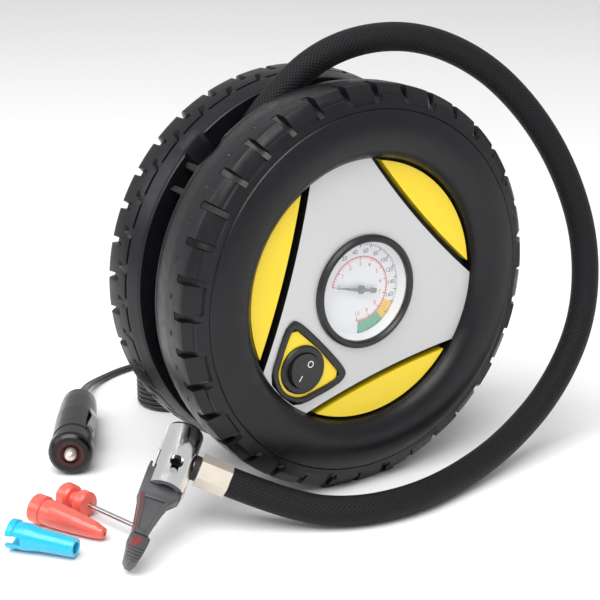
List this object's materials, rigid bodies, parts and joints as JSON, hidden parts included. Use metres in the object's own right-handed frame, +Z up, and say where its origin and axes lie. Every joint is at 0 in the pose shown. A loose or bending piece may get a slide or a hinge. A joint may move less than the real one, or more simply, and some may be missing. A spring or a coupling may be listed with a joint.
{
  "type": "portable tire inflator",
  "caption": "Portable 12 V tyre inflator in the shape of a small road wheel, with a face gauge, rocker switch, hose wound round its rim, lever chuck, car plug and spare nozzles.",
  "frame": {"origin": "on the floor under the wheel, at the centre of the front shell's standing foot", "axes": "+Z up, -Y out of the gauge face, +X to the right as the gauge is read"},
  "size_m": [0.3002, 0.2368, 0.2047],
  "materials": {
    "tyre_black": "matte, faint mould grain",
    "inner_black": "matte",
    "silver": "satin silver paint",
    "yellow": "gloss",
    "trim_black": "satin",
    "lens_clear": "clear",
    "dial_white": "printed",
    "needle_grey": "satin",
    "steel": "plain",
    "brass": "plain",
    "nickel": "pale nickel plate",
    "chrome": "mirror",
    "aluminium": "die cast",
    "nylon": "natural",
    "rubber_black": "matte",
    "hose_braid": "woven",
    "cord_black": "gloss",
    "plug_black": "gloss",
    "lever_grey": "satin",
    "coral": "translucent",
    "blue": "translucent"
  },
  "bodies": {
    "housing": {"front_tyre_shell": "tyre_black", "rear_tyre_shell": "tyre_black", "hose_drum": "inner_black", "chuck_clip": "inner_black", "face_base": "inner_black", "silver_face_plate": "silver", "yellow_insert_1": "yellow", "yellow_insert_2": "yellow", "yellow_insert_3": "yellow", "switch_frame": "trim_black", "switch_plate": "yellow", "switch_housing": "trim_black", "switch_terminals": "brass", "gauge_bezel": "trim_black", "gauge_rim": "silver", "gauge_lens": "lens_clear", "gauge_dial": "dial_white", "gauge_case": "inner_black", "gauge_pressure_coil": "brass", "motor_can": "steel", "gear_axle": "steel", "works_bracket": "aluminium", "pump_cylinder": "aluminium", "cylinder_head": "aluminium", "air_tube": "rubber_black", "gauge_tube": "rubber_black", "cord_compartment": "inner_black", "lid_hinge": "tyre_black", "shell_screws": "steel", "hose_gland": "rubber_black", "air_hose": "hose_braid", "chuck_body": "chrome", "chuck_seal": "rubber_black", "lever_pin": "steel", "chuck_collar": "rubber_black", "hose_nut": "nickel", "plug_upper_half": "plug_black", "plug_lower_half": "plug_black", "plug_ring": "plug_black", "plug_contacts": "nickel", "power_cord": "cord_black", "power_cord_rear": "cord_black", "cord_hank": "cord_black", "hank_tie": "plug_black", "cord_gland": "rubber_black"},
    "needle": {"gauge_needle": "needle_grey"},
    "rocker": {"switch_rocker": "trim_black"},
    "lever": {"chuck_lever": "lever_grey"},
    "rotor": {"motor_rotor": "steel", "motor_pinion": "brass"},
    "gear": {"drive_gear": "nylon"},
    "piston": {"piston_rod": "nylon", "piston_seal": "rubber_black"},
    "lid": {"rear_lid": "tyre_black"},
    "tip": {"plug_tip": "nickel"},
    "needle_nozzle": {"needle_adapter": "coral", "needle_tube": "steel"},
    "cone": {"cone_nozzle": "coral"},
    "blue": {"blue_nozzle": "blue"}
  },
  "joints": [
    {"name": "gauge_needle_turn", "type": "hinge", "parent": "housing", "child": "needle", "pos_m": [0, -0.017, 0.092], "axis": [0, 1, 0], "range_deg": [0, 265], "stiffness_Nm_per_rad": 0.00004},
    {"name": "power_switch_rock", "type": "hinge", "parent": "housing", "child": "rocker", "pos_m": [-0.03329, -0.022, 0.06202], "axis": [0.6691, 0, -0.7431], "range_deg": [0, 14]},
    {"name": "chuck_lever_swing", "type": "hinge", "parent": "housing", "child": "lever", "pos_m": [-0.09976, -0.01802, 0.02615], "axis": [0.0379, 0.6431, -0.7649], "range_deg": [0, 90]},
    {"name": "drive_gear_spin", "type": "hinge", "parent": "housing", "child": "gear", "pos_m": [-0.005, 0.018, 0.0845], "axis": [1, 0, 0], "continuous": true},
    {"name": "motor_spin", "type": "hinge", "parent": "housing", "child": "rotor", "pos_m": [-0.005, 0.018, 0.068], "axis": [1, 0, 0], "continuous": true},
    {"name": "piston_stroke", "type": "slide", "parent": "housing", "child": "piston", "axis": [0, 0, 1], "range_m": [-0.006, 0.006]},
    {"name": "rear_lid_swing", "type": "hinge", "parent": "housing", "child": "lid", "pos_m": [0, 0.0556, 0.039], "axis": [-1, 0, 0], "range_deg": [0, 75]},
    {"name": "plug_tip_press", "type": "slide", "parent": "housing", "child": "tip", "axis": [0.4801, 0.8771, -0.015], "range_m": [0, 0.0028], "stiffness_N_per_m": 400},
    {"name": "needle_nozzle_lift", "type": "slide", "parent": "housing", "child": "needle_nozzle", "axis": [0, 0, 1], "range_m": [0, 0.05]},
    {"name": "cone_nozzle_lift", "type": "slide", "parent": "housing", "child": "cone", "axis": [0, 0, 1], "range_m": [0, 0.05]},
    {"name": "blue_nozzle_lift", "type": "slide", "parent": "housing", "child": "blue", "axis": [0, 0, 1], "range_m": [0, 0.05]}
  ],
  "couplings": [
    {"joint": "drive_gear_spin", "follows": "motor_spin", "ratio": -0.22222}
  ]
}
